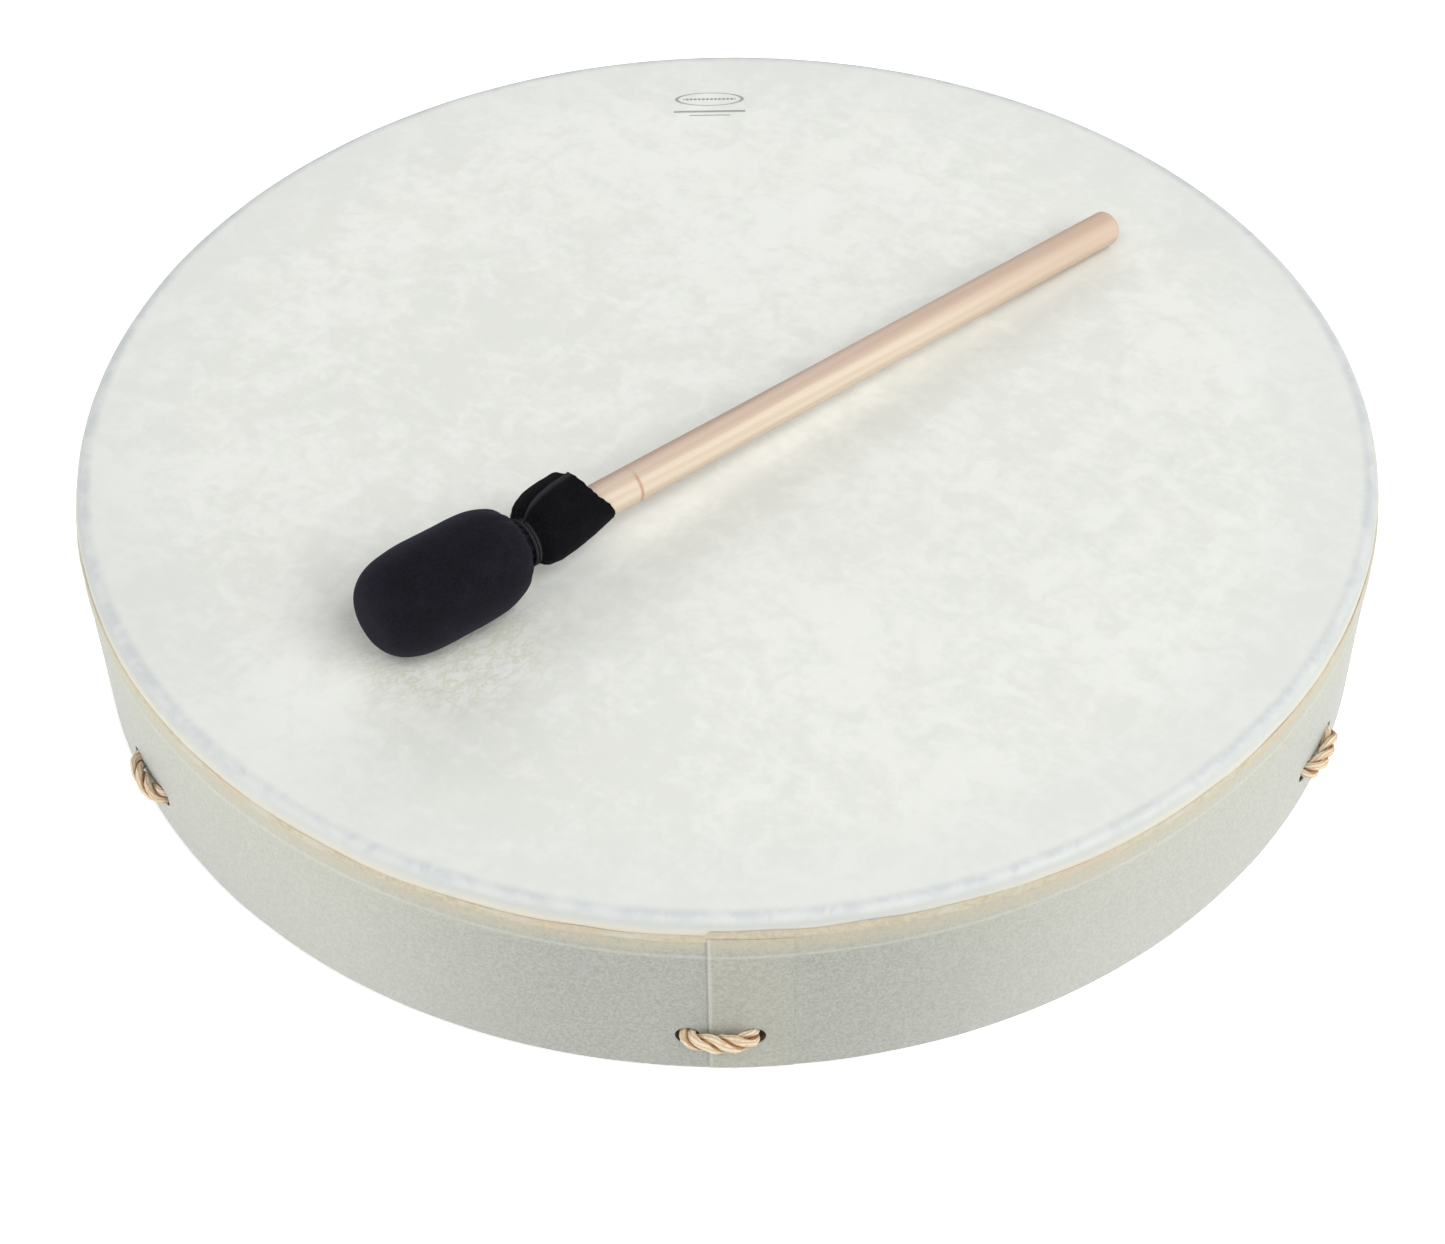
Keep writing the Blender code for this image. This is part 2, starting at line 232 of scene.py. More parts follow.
def roughen(points, size, depth, seed):
    """How far each point moves, from smooth noise whose lumps are about that size."""
    shift = Vector((seed * 7.31, seed * 3.17, seed * 5.71))
    flat = points.reshape(-1, 3) / size
    moved = [noise.noise(Vector(point) + shift) for point in flat]
    return depth * np.array(moved).reshape(points.shape[:-1])


def uneven(points, seed, *lumps):
    """Several noises added up, given the (size, depth) of each one's lumps in mm."""
    return sum(roughen(points, size * MM, depth * MM, seed + i) for i, (size, depth) in enumerate(lumps))


def push_out(points, amount):
    """Moves points away from the Z axis by that much each."""
    reach = np.linalg.norm(points[..., :2], axis=-1)
    points[..., :2] *= (1 + amount / np.maximum(reach, SAME_POINT))[..., None]


def grid_faces(rows, columns, loop_rows, loop_columns):
    """The row and column of each quad's four corners."""
    row_count = rows - (not loop_rows)
    column_count = columns - (not loop_columns)
    r, c = np.meshgrid(np.arange(row_count), np.arange(column_count), indexing="ij")
    face_rows = np.stack([r, r, r + 1, r + 1], axis=-1).reshape(-1, 4)
    face_columns = np.stack([c, c + 1, c + 1, c], axis=-1).reshape(-1, 4)
    return face_rows, face_columns


def new_object(name, data):
    """A mesh, lamp or camera, placed in the scene."""
    thing = bpy.data.objects.new(name, data)
    bpy.context.scene.collection.objects.link(thing)
    return thing


def build_mesh(name, grids, row_length, loop_rows=False, loop_columns=True):
    """A mesh of quads through grids of points. Its UVs are the share of the way round and the way along."""
    faces, corners = [], []
    start = 0
    for grid in grids:
        rows, columns = grid.shape[:2]
        face_rows, face_columns = grid_faces(rows, columns, loop_rows, loop_columns)
        faces.append(start + face_rows % rows * columns + face_columns % columns)
        corners.append(np.stack([face_columns / columns, face_rows * row_length], axis=-1))
        start += rows * columns
    points = np.concatenate([grid.reshape(-1, 3) for grid in grids])
    mesh = bpy.data.meshes.new(name)
    mesh.from_pydata(points.tolist(), [], np.concatenate(faces).tolist())
    layer = mesh.uv_layers.new(name="UVMap")
    layer.data.foreach_set("uv", np.concatenate(corners).astype(np.float32).ravel())
    return mesh


def mark_heights(mesh, heights):
    """Keeps how near each point of a cord is to its outside, one array for each grid."""
    attribute = mesh.attributes.new("height", "FLOAT", "POINT")
    values = np.concatenate([np.ravel(block) for block in heights])
    attribute.data.foreach_set("value", values.astype(np.float32))


def clean_mesh(mesh):
    """Joins points that coincide, turns the faces outwards and shades them smooth."""
    bm = bmesh.new()
    bm.from_mesh(mesh)
    bmesh.ops.remove_doubles(bm, verts=bm.verts, dist=SAME_POINT)
    bmesh.ops.recalc_face_normals(bm, faces=bm.faces)
    bm.to_mesh(mesh)
    bm.free()
    mesh.shade_smooth()


def add_piece(name, grids, look, body, place=None, row_length=MM, heights=None, **loops):
    """A piece that rides on a CAD body, made from one grid of points or several."""
    mesh = build_mesh(name, grids if isinstance(grids, list) else [grids], row_length, **loops)
    if heights is not None:
        mark_heights(mesh, heights)
    clean_mesh(mesh)
    mesh.set_sharp_from_angle(angle=SHARP_ANGLE)
    mesh.materials.append(look)
    piece = new_object(name, mesh)
    piece.matrix_world = place or Matrix.Identity(4)
    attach(piece, body)
    return piece


def stand_for(node):
    """Hides the CAD node that the piece stands in for."""
    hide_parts(node)


def apply_modifiers(piece):
    """Bakes the piece's modifiers into its mesh."""
    graph = bpy.context.evaluated_depsgraph_get()
    shaped = bpy.data.meshes.new_from_object(piece.evaluated_get(graph))
    piece.modifiers.clear()
    piece.data = shaped


# ---- cord tools


def distance_along(path):
    steps = np.linalg.norm(np.diff(path, axis=0), axis=1)
    return np.concatenate([[0], np.cumsum(steps)])


def smooth_path(points, step):
    """Evenly spaced points on a smooth curve through the given ones."""
    points = np.array(points, float)
    reach = distance_along(points)
    slopes = np.gradient(points, reach, axis=0)
    fine = np.linspace(0, reach[-1], int(reach[-1] / step * 6))
    here = np.clip(np.searchsorted(reach, fine, side="right") - 1, 0, len(reach) - 2)
    span = (reach[here + 1] - reach[here])[:, None]
    t = (fine - reach[here])[:, None] / span
    curve = (
        (2 * t**3 - 3 * t**2 + 1) * points[here]
        + (t**3 - 2 * t**2 + t) * span * slopes[here]
        + (3 * t**2 - 2 * t**3) * points[here + 1]
        + (t**3 - t**2) * span * slopes[here + 1]
    )
    along = distance_along(curve)
    even = np.linspace(0, along[-1], int(along[-1] / step) + 1)
    return np.stack([np.interp(even, along, curve[:, i]) for i in range(3)], axis=-1)


def path_frames(path):
    """Two directions across the path at each point, carried along it without twist."""
    ahead = np.gradient(path, axis=0)
    ahead /= np.linalg.norm(ahead, axis=1)[:, None]
    side = np.array([0.0, 0.0, 1.0]) if abs(ahead[0][2]) < 0.9 else np.array([1.0, 0.0, 0.0])
    sides = []
    for direction in ahead:
        side = side - (side @ direction) * direction
        side = side / np.linalg.norm(side)
        sides.append(side)
    sides = np.array(sides)
    return sides, np.cross(ahead, sides)


def tube(path, radius, sides):
    """A grid of rings round the path, drawn to a point at both ends."""
    across, up = path_frames(path)
    turns = even_angles(sides)
    rings = (
        path[:, None, :]
        + radius * np.cos(turns)[None, :, None] * across[:, None, :]
        + radius * np.sin(turns)[None, :, None] * up[:, None, :]
    )
    ends = [np.broadcast_to(path[i], (1, sides, 3)) for i in (0, -1)]
    return np.concatenate([ends[0], rings, ends[1]])


def twisted_cord(path, radius, lay, sides, step):
    """Tubes of the strands of a laid cord, and how near each point is to the cord's outside."""
    across, up = path_frames(path)
    reach = np.arange(len(path)) * step
    strand_radius = radius / (1 + 1 / sin(pi / STRANDS))
    helix_radius = radius - strand_radius
    grids, heights = [], []
    for index in range(STRANDS):
        turn = (reach / lay + index / STRANDS) * FULL_TURN
        middle = path + helix_radius * (
            np.cos(turn)[:, None] * across + np.sin(turn)[:, None] * up
        )
        grid = tube(middle, strand_radius, sides)
        axis = np.concatenate([path[:1], path, path[-1:]])
        heights.append(np.linalg.norm(grid - axis[:, None, :], axis=-1) / radius)
        grids.append(grid)
    return grids, heights


# ---- node materials


class Look:
    """A material whose nodes are added by short calls.

    colour and relief are the outputs so far. Later layers go on top of them.
    """

    def __init__(self, name, **settings):
        self.material = bpy.data.materials.new(name)
        self.material.use_nodes = True
        self.tree = self.material.node_tree
        self.shader = self.tree.nodes["Principled BSDF"]
        for socket, value in settings.items():
            self.shader.inputs[socket.replace("_", " ")].default_value = value
        self.colour = None
        self.relief = None

    def feed(self, socket, value):
        if isinstance(value, bpy.types.NodeSocket):
            self.tree.links.new(value, socket)
        else:
            socket.default_value = value

    def add(self, kind, inputs, **settings):
        node = self.tree.nodes.new("ShaderNode" + kind)
        for key, value in settings.items():
            setattr(node, key, value)
        for socket, value in inputs.items():
            self.feed(node.inputs[socket], value)
        return node

    def place(self, scale=(1, 1, 1), turn=0.0):
        """Coordinates on the piece, in metres, turned about Z and then scaled."""
        source = self.add("TexCoord", {}).outputs["Object"]
        turned_place = self.add("Mapping", {"Vector": source, "Rotation": (0, 0, turn)}, vector_type="POINT")
        return self.add("VectorMath", {0: turned_place.outputs[0], 1: scale}, operation="MULTIPLY").outputs[0]

    def axes(self, kind="Object"):
        """The piece's x, y and z in metres, or its UVs."""
        source = self.add("TexCoord", {}).outputs[kind]
        return self.add("SeparateXYZ", {"Vector": source}).outputs

    def noise(self, scale, detail=4.0, roughness=0.55, distortion=0.0, stretch=(1, 1, 1), turn=0.0):
        values = {"Vector": self.place(stretch, turn), "Scale": scale, "Detail": detail}
        values |= {"Roughness": roughness, "Distortion": distortion}
        return self.add("TexNoise", values, noise_type="FBM").outputs["Fac"]

    def maths(self, operation, first, second=0.0, third=0.0):
        return self.add("Math", {0: first, 1: second, 2: third}, operation=operation).outputs[0]

    def times(self, first, second):
        return self.maths("MULTIPLY", first, second)

    def minus(self, first, second):
        return self.maths("SUBTRACT", first, second)

    def weigh(self, value, share, rest):
        """That share of the value, added to the rest."""
        return self.maths("MULTIPLY_ADD", value, share, rest)

    def waver(self, value, unevenness, size):
        """The value, moved up and down by a noise by at most half that size."""
        return self.weigh(self.minus(unevenness, 0.5), size, value)

    def reach(self, across, up):
        """The length of a line that goes that far across and up."""
        return self.maths("SQRT", self.weigh(across, across, self.times(up, up)))

    def span(self, value, low, high, to_low=0.0, to_high=1.0):
        """The value's place between low and high, smoothly mapped to the new range."""
        values = {"Value": value, "From Min": low, "From Max": high}
        values |= {"To Min": to_low, "To Max": to_high}
        return self.add("MapRange", values, interpolation_type="SMOOTHSTEP").outputs["Result"]

    def band(self, value, low, high, soft):
        """1 between low and high, and 0 outside, with edges that soft."""
        rise = self.span(value, low - soft, low + soft)
        return self.minus(rise, self.span(value, high - soft, high + soft))

    def veins(self, unevenness, width):
        """Thin lines where a noise has its middle value."""
        return self.span(self.maths("ABSOLUTE", self.minus(unevenness, 0.5)), width, 0.0)

    def blend(self, share, first, second, most=1.0):
        """The first colour turning into the second as the share rises, and at most that far."""
        share = share if most == 1.0 else self.times(share, most)
        node = self.add("Mix", {"Factor": share}, data_type="RGBA", blend_type="MIX")
        for socket, colour in zip((node.inputs[6], node.inputs[7]), (first, second)):
            self.feed(socket, (*colour, 1.0) if isinstance(colour, tuple) else colour)
        return node.outputs[2]

    def cover(self, share, colour, most=1.0):
        """Turns the look's colour into another where the share is high, and at most that far."""
        self.colour = self.blend(share, self.colour, colour, most)

    def tint(self, colour, most, value, low, high):
        """Turns the look's colour into another, at most that far, as the value goes from low to high."""
        self.cover(self.span(value, low, high, 0.0, most), colour)

    def bump(self, height, distance):
        """Relief of that height in metres, on top of the relief so far."""
        values = {"Height": height, "Distance": distance, "Strength": 1.0}
        if self.relief is not None:
            values["Normal"] = self.relief
        self.relief = self.add("Bump", values).outputs["Normal"]

    def finish(self, value, low, high, rough_at_low, rough_at_high):
        """Feeds the shader. The roughness follows the value."""
        self.feed(self.shader.inputs["Base Color"], self.colour)
        roughness = self.span(value, low, high, rough_at_low, rough_at_high)
        self.feed(self.shader.inputs["Roughness"], roughness)
        self.feed(self.shader.inputs["Normal"], self.relief)
        return self.material


def printed_emblem(look):
    """How much ink lies at each point: a plain oval ring with a row of dots, over two plain rules."""
    x, y, z = look.axes()
    across = look.minus(x, EMBLEM_PLACE[0])
    up = look.minus(y, EMBLEM_PLACE[1])
    wide = look.maths("DIVIDE", across, EMBLEM_HALF_WIDTH)
    high = look.maths("DIVIDE", up, EMBLEM_HALF_HEIGHT)
    oval = look.reach(high, wide)
    ring = look.band(oval, 0.90, 1.0, 0.03)
    from_dot = look.maths("PINGPONG", look.maths("ADD", across, 6 * EMBLEM_DOT_STEP), EMBLEM_DOT_STEP)
    from_dot = look.reach(look.minus(from_dot, EMBLEM_DOT_STEP / 2), up)
    dots = look.times(look.span(from_dot, 1.0 * MM, 0.7 * MM), look.span(oval, 0.78, 0.74))
    rules = [
        look.times(look.band(up, low, top, 0.25 * MM), look.band(across, -half, half, 0.3 * MM))
        for low, top, half in EMBLEM_RULES
    ]
    ink = look.maths("MAXIMUM", look.maths("MAXIMUM", ring, dots), look.maths("MAXIMUM", *rules))
    on_top = look.span(z, HEAD_TOP - 0.25 * MM, HEAD_TOP - 0.1 * MM)
    wear = look.span(look.noise(900, 3), 0.3, 0.5, 0.75, 1.0)
    return look.times(look.times(ink, on_top), wear)


def creases(look, scale, width, turn):
    """Long thin curved lines, here and there."""
    line = look.veins(look.noise(scale, 1, 0.4, turn=turn), width)
    some = look.span(look.noise(scale * 1.7, 2, turn=turn + 1.0), 0.5, 0.62)
    return look.times(line, some)


def scuffs_and_shade(look):
    """Fine wrinkles where the mallet's head has struck and rested, tinted olive and darker as painted shade
    beside the mallet's head.
    """
    x, y, _ = look.axes()
    away = look.reach(look.minus(x, SCUFF_AND_SHADE_PLACE[0]), look.minus(y, SCUFF_AND_SHADE_PLACE[1]))
    folds = look.noise(70, 5, 0.68, 0.4, stretch=(1, 1.7, 1), turn=-0.6)
    strokes = look.noise(150, 5, 0.7, 0.8, stretch=(1, 1.8, 1), turn=-0.6)
    strokes = look.span(strokes, 0.46, 0.68, 0.0, 0.5)
    worn = look.maths("MAXIMUM", look.times(look.veins(folds, 0.045), 0.5), strokes)
    return look.times(look.span(away, 58 * MM, 22 * MM), worn)


def colour_head_edge(look, tufts):
    """The film takes painted shade towards its edge, in frost-like blotches over the fold and down the
    collar, and turns tan where the adhesive is.
    """
    x, y, height = look.axes()
    from_axis = look.reach(x, y)
    folded = look.span(from_axis, COLLAR_RADIUS - 8.5 * MM, COLLAR_RADIUS - 4 * MM)
    look.feed(look.shader.inputs["Specular IOR Level"], look.span(folded, 0.0, 1.0, 0.6, 0.35))
    # Painted shade over the fold, in frost-like blotches.
    frost_shade = look.span(look.noise(75, 4, 0.6, 0.6), 0.4, 0.62, 0.5, 1.0)
    # Painted shade: the film turns greyer over its outer 60 mm, towards the edge.
    outer = (COLLAR_RADIUS - 60 * MM, COLLAR_RADIUS - 7 * MM)
    look.tint((0.725, 0.738, 0.703), 0.5, from_axis, *outer)
    look.cover(look.times(folded, frost_shade), (0.585, 0.605, 0.608))
    # Painted shade down the collar's upright face.
    collar = (BEAD_TOP + 6.2 * MM, BEAD_TOP + 3.4 * MM)
    look.tint((0.50, 0.51, 0.475), 0.9, height, *collar)
    glued = (BEAD_TOP + 3.2 * MM, BEAD_TOP + 0.4 * MM)
    look.tint((0.60, 0.545, 0.43), 0.75, look.waver(height, tufts, 4 * MM), *glued)


def head_film_look():
    """Off-white film with soft pale tufts, a few creases, worn wrinkles with painted shade beside the
    mallet's head, painted shade round its edge and a printed emblem.
    """
    look = Look("head_film")
    tufts = look.noise(56, 5, 0.58, 0.7)
    strokes = look.noise(60, 5, 0.6, 0.5, stretch=(1, 3.0, 1), turn=0.7)
    tone = look.weigh(tufts, 0.5, look.times(strokes, 0.2))
    tone = look.weigh(look.noise(200, 4, 0.6, 0.5), 0.3, tone)
    clouds = look.noise(9, 3, 0.5, 0.3)
    light = look.span(look.weigh(clouds, 0.38, tone), 0.60, 0.80)
    look.colour = look.blend(light, (0.753, 0.757, 0.709), (0.82, 0.823, 0.776))
    creamy = look.noise(24, 4, 0.6, 0.6)
    look.tint((0.80, 0.79, 0.727), 0.35, creamy, 0.52, 0.75)
    creased = look.maths("ADD", creases(look, 5, 0.010, 0.4), creases(look, 8, 0.012, 2.2))
    look.cover(creased, (0.66, 0.67, 0.63), 0.16)
    # Olive wrinkles and painted shade beside the mallet's head.
    look.cover(scuffs_and_shade(look), (0.565, 0.56, 0.40))
    colour_head_edge(look, tufts)
    look.cover(printed_emblem(look), (0.22, 0.235, 0.225), 0.85)
    look.bump(look.noise(800, 4, 0.6), 0.04 * MM)
    look.bump(tone, 0.25 * MM)
    look.bump(creased, -0.08 * MM)
    return look.finish(tone, 0.35, 0.65, 0.54, 0.46)


def past_seam(look):
    """How far round the rim each point is from the seam, in metres, positive towards +X at the front."""
    x, y, _ = look.axes()
    angle = look.maths("ARCTAN2", y, x)
    return look.times(look.minus(angle, LAP_ANGLES[0]), DRUM_RADIUS)


def tan_share(look, height):
    """How much of the adhesive's tan shows: most along the bond line, and fading down the film."""
    slow = look.noise(22, 3, 0.5, stretch=(1, 1, 0.3))
    near_bond = look.span(look.waver(height, slow, 9 * MM), COLLAR_END - 1 * MM, WRAP_TOP - 1 * MM)
    patchy = look.span(look.noise(420, 5, 0.65, 0.5), 0.35, 0.65, 0.45, 1.0)
    return look.times(near_bond, patchy)


def colour_seam(look, shade, clouds):
    """Painted shade darkens the film near the seam, at the drum's front, and the lap is browner, with a
    painted shadow beside the lap's edge and a painted highlight along it.
    """
    from_seam = past_seam(look)
    # Painted shade: the film is made darker within about 170 mm of the seam.
    dark = look.blend(shade, (0.272, 0.28, 0.247), (0.352, 0.358, 0.32))
    look.tint(dark, 0.9, look.maths("ABSOLUTE", from_seam), 170 * MM, 40 * MM)
    into_lap = look.span(from_seam, -0.3 * MM, 0.3 * MM)
    lap_end = look.weigh(clouds, 12 * MM, from_seam)
    out_of_lap = look.span(lap_end, LAP_WIDTH - 6 * MM, LAP_WIDTH + 14 * MM)
    brown = look.blend(shade, (0.315, 0.305, 0.256), (0.388, 0.376, 0.32))
    look.cover(look.minus(into_lap, out_of_lap), brown, 0.75)
    look.cover(tan_share(look, look.axes()[2]), (0.455, 0.405, 0.29), 0.85)
    # A painted shadow beside the lap's edge.
    seam_shadow = look.band(from_seam, -1.0 * MM, 0.0, 0.35 * MM)
    look.cover(seam_shadow, (0.25, 0.26, 0.22), 0.25)
    # A painted highlight along the lap's raised edge.
    seam_edge_highlight = look.band(from_seam, 0.2 * MM, 1.4 * MM, 0.4 * MM)
    look.cover(seam_edge_highlight, (0.58, 0.58, 0.525), 0.3)


def side_film_look():
    """Fine-grained greenish grey film: warmer and then tan towards the top, with a painted highlight along
    the ridge there.
    """
    look = Look("side_film", Specular_IOR_Level=0.4)
    height = look.axes()[2]
    mottle = look.noise(560, 4, 0.65, 0.3)
    fine = look.noise(1000, 4, 0.6)
    clouds = look.noise(26, 3, 0.5)
    tone = look.weigh(mottle, 0.45, look.times(fine, 0.55))
    shade = look.span(tone, 0.38, 0.62)
    cool = look.blend(shade, (0.385, 0.392, 0.355), (0.445, 0.448, 0.405))
    warm = look.blend(shade, (0.39, 0.39, 0.332), (0.452, 0.45, 0.388))
    top_share = look.span(look.waver(height, clouds, 30 * MM), 34 * MM, 74 * MM)
    look.colour = look.blend(top_share, cool, warm, 0.9)
    colour_seam(look, shade, clouds)
    # A painted highlight along the ridge where the collar's end shows through.
    ridge = look.band(height, COLLAR_END - 0.9 * MM, COLLAR_END + 0.7 * MM, 0.8 * MM)
    look.cover(ridge, (0.58, 0.58, 0.50), 0.3)
    look.bump(fine, 0.07 * MM)
    look.bump(mottle, 0.16 * MM)
    return look.finish(tone, 0.35, 0.65, 0.62, 0.5)


def bond_look():
    """Dried adhesive: a soft tan, pinkish in places and greener in others."""
    look = Look("bond", Specular_IOR_Level=0.45)
    blots = look.noise(420, 5, 0.65, 0.5)
    look.colour = look.blend(look.span(blots, 0.35, 0.65), (0.41, 0.36, 0.25), (0.50, 0.45, 0.335))
    look.tint((0.495, 0.405, 0.305), 0.6, look.noise(26, 3, stretch=(1, 1, 0.3)), 0.48, 0.62)
    look.tint((0.50, 0.485, 0.41), 0.6, look.noise(45, 3, stretch=(1, 1, 0.3)), 0.5, 0.68)
    look.bump(blots, 0.1 * MM)
    return look.finish(blots, 0.3, 0.7, 0.42, 0.6)


def hoop_look():
    """Dark pressed wood fibre, with paler clouds."""
    look = Look("hoop_fibre", Specular_IOR_Level=0.35)
    fibres = look.noise(160, 7, 0.7, 1.5, stretch=(1, 1, 5))
    clouds = look.noise(25, 4, 0.6)
    look.colour = look.blend(look.span(fibres, 0.35, 0.65), (0.075, 0.052, 0.036), (0.19, 0.14, 0.10))
    look.tint((0.24, 0.19, 0.145), 0.4, clouds, 0.45, 0.7)
    flakes = look.add("TexVoronoi", {"Vector": look.place(), "Scale": 260}).outputs["Distance"]
    look.bump(flakes, 0.15 * MM)
    look.bump(fibres, 0.3 * MM)
    return look.finish(fibres, 0.3, 0.7, 0.82, 0.6)


def cord_look(name):
    """Twisted yarn: pale where it stands out, with painted shade in the grooves between strands and between
    yarns.
    """
    crown, groove_shade, dirt, yarns, yarn_pitch, relief_depth = CORD_LOOKS[name]
    look = Look(name, Specular_IOR_Level=0.25)
    around, along, _ = look.axes("UV")
    lean = look.weigh(along, 1 / yarn_pitch, look.times(around, yarns))
    yarn = look.span(look.maths("PINGPONG", lean, 0.5), 0.0, 0.35)
    fray = look.noise(900, 5, 0.7, 1.0)
    blots = look.noise(230, 4, 0.6, 0.5)
    height = look.add("Attribute", {}, attribute_name="height").outputs["Fac"]
    depth = look.waver(look.span(height, 0.62, 0.97), fray, 0.5)
    # Painted shade: darker and browner the deeper a point lies between the strands, and between the yarns.
    look.colour = look.blend(look.span(depth, 0.0, 0.75), groove_shade, crown)
    look.tint(groove_shade, 0.4, yarn, 0.7, 0.0)
    look.tint(dirt, 0.75, blots, 0.46, 0.66)
    look.bump(fray, 0.25 * relief_depth)
    look.bump(yarn, relief_depth)
    return look.finish(fray, 0.3, 0.7, 0.95, 0.75)


def wood_bands(look):
    """Wavy growth bands, drawn out along the stick."""
    values = {"Vector": look.place((1, 0.35, 0.035), 0.5), "Scale": 60, "Distortion": 9.0}
    values |= {"Detail": 3.0, "Detail Scale": 1.2}
    return look.add("TexWave", values, bands_direction="X").outputs["Fac"]


def stick_look():
    """A pale hardwood dowel: pinker and darker on its upper back-left side, partly painted shade, and cream
    on the other, with its grain along the stick.
    """
    look = Look("stick_wood", Specular_IOR_Level=0.35)
    bands = wood_bands(look)
    pores = look.noise(900, 4, 0.6, stretch=(1, 1, 0.03))
    streaks = look.noise(130, 5, 0.6, 0.3, stretch=(1, 1, 0.05))
    x, y, along = look.axes()
    around = look.waver(look.weigh(x, -0.61, look.times(y, 0.79)), streaks, 8 * MM)
    # Painted shade: the stick's upper back-left side is darker as well as pinker.
    pink_shaded_side = look.span(around, -0.45 * STICK_RADIUS, 0.75 * STICK_RADIUS)
    light = look.blend(pink_shaded_side, (0.70, 0.59, 0.46), (0.61, 0.465, 0.375))
    dark = look.blend(pink_shaded_side, (0.645, 0.525, 0.395), (0.525, 0.385, 0.305))
    look.colour = look.blend(look.span(bands, 0.1, 0.9), dark, light)
    look.tint((0.65, 0.50, 0.395), 0.35, streaks, 0.4, 0.7)
    look.tint((0.56, 0.41, 0.30), 0.12, pores, 0.58, 0.75)
    in_groove = look.band(along, GROOVE_PLACE - 0.7 * MM, GROOVE_PLACE + 0.7 * MM, 0.6 * MM)
    burnt_side = look.span(y, -0.1 * STICK_RADIUS, -0.6 * STICK_RADIUS, 0.12, 0.75)
    look.cover(look.times(in_groove, burnt_side), (0.46, 0.24, 0.13))
    look.tint((0.58, 0.42, 0.315), 0.65, along, *HANDLED_STRETCH)
    end_grain = (MALLET_REACH - 8 * MM, MALLET_REACH - 1.5 * MM)
    look.tint((0.62, 0.46, 0.355), 0.5, along, *end_grain)
    look.bump(pores, 0.08 * MM)
    look.bump(bands, 0.04 * MM)
    return look.finish(streaks, 0.35, 0.7, 0.58, 0.46)


def cloth_look(name, sheen, dye, worn, edge_highlight=0.0):
    """Black brushed cloth: a close weave under a short nap, a bluish sheen and perhaps a painted highlight
    along its free edge.
    """
    look = Look(name, Specular_IOR_Level=0.1, Sheen_Weight=sheen, Sheen_Roughness=0.5)
    look.shader.inputs["Sheen Tint"].default_value = (0.5, 0.5, 0.72, 1.0)
    nap = look.noise(1500, 4, 0.7, 0.8)
    patches = look.noise(110, 5, 0.6, 0.6)
    around, along, _ = look.axes("UV")
    warp = look.maths("PINGPONG", look.times(around, 150.0), 0.5)
    weft = look.maths("PINGPONG", look.times(along, 1100.0), 0.5)
    weave = look.maths("MAXIMUM", warp, weft)
    look.colour = look.blend(look.span(nap, 0.35, 0.7), dye, worn)
    look.tint(tuple(1.2 * part for part in worn), 0.45, patches, 0.45, 0.7)
    # A painted highlight along the skirt's free edge.
    if edge_highlight:
        look.tint((0.06, 0.058, 0.065), edge_highlight, around, 0.022, 0.004)
    look.bump(weave, 0.12 * MM)
    look.bump(nap, 0.16 * MM)
    return look.finish(nap, 0.3, 0.7, 0.98, 0.86)


def core_look():
    """Grey felt under the cloth."""
    look = Look("core_felt", Specular_IOR_Level=0.2)
    wool = look.noise(600, 6, 0.7, 2.0)
    look.colour = look.blend(look.span(wool, 0.35, 0.65), (0.16, 0.16, 0.155), (0.33, 0.325, 0.31))
    look.bump(wool, 0.3 * MM)
    return look.finish(wool, 0.3, 0.7, 0.98, 0.85)


def floor_look():
    """A pale sweep, lit so evenly that it is nearly white."""
    look = Look("pale_floor", Specular_IOR_Level=0.0, Roughness=1.0)
    look.shader.inputs["Base Color"].default_value = (0.8, 0.8, 0.8, 1.0)
    look.shader.inputs["Emission Color"].default_value = (1.0, 1.0, 1.0, 1.0)
    look.shader.inputs["Emission Strength"].default_value = 0.55
    return look.material


# ---- drum


def drumhead(look):
    """The film head: flat, folded over the hoop's round edge, with a collar down its outside."""
    flat_end = COLLAR_RADIUS - HEAD_FOLD_RADIUS
    fold = (flat_end, HEAD_TOP - HEAD_FOLD_RADIUS)
    flats = [(flat_end * i / 24, HEAD_TOP) for i in range(24)]
    under = [(radius, height - FILM_THICKNESS) for radius, height in reversed(flats)]
    collar = [(COLLAR_RADIUS, fold[1] - (fold[1] - COLLAR_END) * i / 5) for i in range(1, 6)]
    inside = [(COLLAR_RADIUS - FILM_THICKNESS, height) for _, height in reversed(collar)]
    profile = [
        *flats,
        *arc(fold, HEAD_FOLD_RADIUS, 90, 0, 14),
        *collar,
        *inside,
        *arc(fold, HEAD_FOLD_RADIUS - FILM_THICKNESS, 0, 90, 14),
        *under,
    ]
    grid = turned(profile, even_angles(HEAD_COLUMNS))
    near_edge = smooth_step(flat_end - 4 * MM, flat_end + 3 * MM, np.array(profile)[:, 0])
    push_out(grid, uneven(grid, 1, (30, 0.16), (9, 0.05)) * near_edge[:, None])
    piece = add_piece("head_film", grid, look, "drum")
    stand_for("drumhead")


